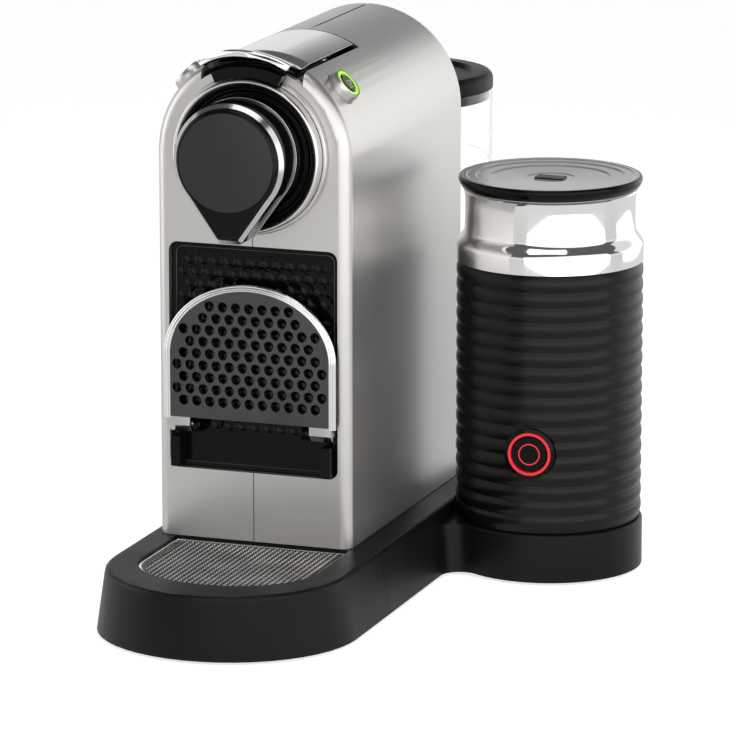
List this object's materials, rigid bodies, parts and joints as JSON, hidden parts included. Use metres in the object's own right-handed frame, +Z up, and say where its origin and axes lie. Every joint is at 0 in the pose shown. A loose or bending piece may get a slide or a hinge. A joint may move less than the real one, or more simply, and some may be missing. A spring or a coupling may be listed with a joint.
{
  "type": "pod coffee machine",
  "caption": "Pod coffee machine with brewing lever, folding cup support, removable tank and drip tray, and a side milk frother.",
  "frame": {"origin": "centre of the machine's box, on the surface it stands on", "axes": "+Z up; the brewing head, drip tray and cup support face -Y; the milk frother is on the +X side; the tank is at +Y"},
  "size_m": [0.22, 0.3776, 0.2824],
  "materials": {
    "silver_casing": "satin",
    "black_matte": "satin",
    "black_gloss": "gloss",
    "chrome": "polished",
    "clear_plastic": "clear",
    "smoke_plastic": "clear smoke",
    "dark_metal": "dark satin",
    "stainless": "brushed",
    "aluminium": "cast",
    "rubber": "matte",
    "silicone": "matte",
    "board_green": "satin",
    "glow_green": "lit",
    "glow_red": "lit"
  },
  "bodies": {
    "machine": {"base_plinth": "black_matte", "base_plate": "black_matte", "foot_front_left": "rubber", "foot_front_right": "rubber", "foot_rear_left": "rubber", "foot_rear_right": "rubber", "foot_frother": "rubber", "body_shell_left": "silver_casing", "body_shell_right": "silver_casing", "rear_panel": "black_matte", "cord_inlet_gland": "rubber", "crown_seam_strip": "black_matte", "chassis": "black_matte", "head_bezel": "silver_casing", "head_trim_ring": "silver_casing", "brew_head_cap": "black_gloss", "lever_collar": "black_gloss", "coffee_outlet": "black_gloss", "lever_pivot_pin": "stainless", "brew_frame": "aluminium", "injection_head": "stainless", "pod_chute": "black_matte", "thermoblock": "aluminium", "pump": "stainless", "flow_meter": "black_matte", "control_board": "board_green", "valve_seat": "silicone", "pressure_hose": "silicone", "feed_hose": "silicone", "button_bezel_right": "silver_casing", "button_bezel_left": "silver_casing", "button_light_right": "glow_green", "button_light_left": "glow_green", "frother_hub": "black_matte", "frother_motor": "stainless"},
    "lever": {"brew_lever": "chrome", "crank_pin": "stainless"},
    "brew_chamber_carriage": {"brew_chamber": "stainless"},
    "espresso_button": {"espresso_button": "black_gloss"},
    "lungo_button": {"lungo_button": "black_gloss"},
    "tray_unit": {"drip_tray": "black_matte", "tray_foot_left": "rubber", "tray_foot_right": "rubber"},
    "grid": {"drip_grid": "stainless"},
    "container_unit": {"capsule_container": "black_matte", "container_panel": "black_gloss", "hinge_pin_left": "stainless", "hinge_pin_right": "stainless"},
    "cup_support": {"cup_support": "dark_metal"},
    "tank": {"water_tank": "clear_plastic"},
    "tank_lid": {"tank_lid": "black_matte"},
    "frother_jug": {"frother_jug": "chrome", "frother_sleeve": "black_matte", "frother_button_housing": "black_gloss", "frother_button_light": "glow_red"},
    "frother_lid": {"frother_lid": "smoke_plastic", "frother_lid_seal": "rubber", "whisk_holder": "black_matte"},
    "frother_button": {"frother_button": "black_gloss"},
    "whisk": {"whisk": "stainless"}
  },
  "joints": [
    {"name": "lever_pivot", "type": "hinge", "parent": "machine", "child": "lever", "pos_m": [-0.049, -0.021, 0.26], "axis": [-1, 0, 0], "range_deg": [0, 80]},
    {"name": "chamber_slide", "type": "slide", "parent": "machine", "child": "brew_chamber_carriage", "axis": [0, -1, 0], "range_m": [0, 0.0181]},
    {"name": "espresso_press", "type": "slide", "parent": "machine", "child": "espresso_button", "axis": [-0.766, 0, -0.6428], "range_m": [0, 0.0015], "stiffness_N_per_m": 300},
    {"name": "lungo_press", "type": "slide", "parent": "machine", "child": "lungo_button", "axis": [0.766, 0, -0.6428], "range_m": [0, 0.0015], "stiffness_N_per_m": 300},
    {"name": "tray_slide", "type": "slide", "parent": "machine", "child": "tray_unit", "axis": [0, -1, 0], "range_m": [0, 0.12]},
    {"name": "grid_lift", "type": "slide", "parent": "tray_unit", "child": "grid", "axis": [0, 0, 1], "range_m": [0, 0.03]},
    {"name": "container_slide", "type": "slide", "parent": "machine", "child": "container_unit", "axis": [0, -1, 0], "range_m": [0, 0.12]},
    {"name": "cup_support_fold", "type": "hinge", "parent": "container_unit", "child": "cup_support", "pos_m": [-0.049, -0.082, 0.091], "axis": [1, 0, 0], "range_deg": [0, 90]},
    {"name": "tank_lift", "type": "slide", "parent": "machine", "child": "tank", "axis": [0, 0, 1], "range_m": [0, 0.25]},
    {"name": "tank_lid_lift", "type": "slide", "parent": "tank", "child": "tank_lid", "axis": [0, 0, 1], "range_m": [0, 0.05]},
    {"name": "frother_lift", "type": "slide", "parent": "machine", "child": "frother_jug", "axis": [0, 0, 1], "range_m": [0, 0.22]},
    {"name": "frother_lid_lift", "type": "slide", "parent": "frother_jug", "child": "frother_lid", "axis": [0, 0, 1], "range_m": [0, 0.05]},
    {"name": "frother_press", "type": "slide", "parent": "frother_jug", "child": "frother_button", "axis": [-0.1045, 0.9945, 0], "range_m": [0, 0.001], "stiffness_N_per_m": 300},
    {"name": "whisk_spin", "type": "hinge", "parent": "frother_jug", "child": "whisk", "pos_m": [0.062, 0.05, 0.04], "axis": [0, 0, 1], "continuous": true}
  ],
  "couplings": [
    {"joint": "chamber_slide", "follows": "lever_pivot", "m_per_rad": 0.01289}
  ]
}
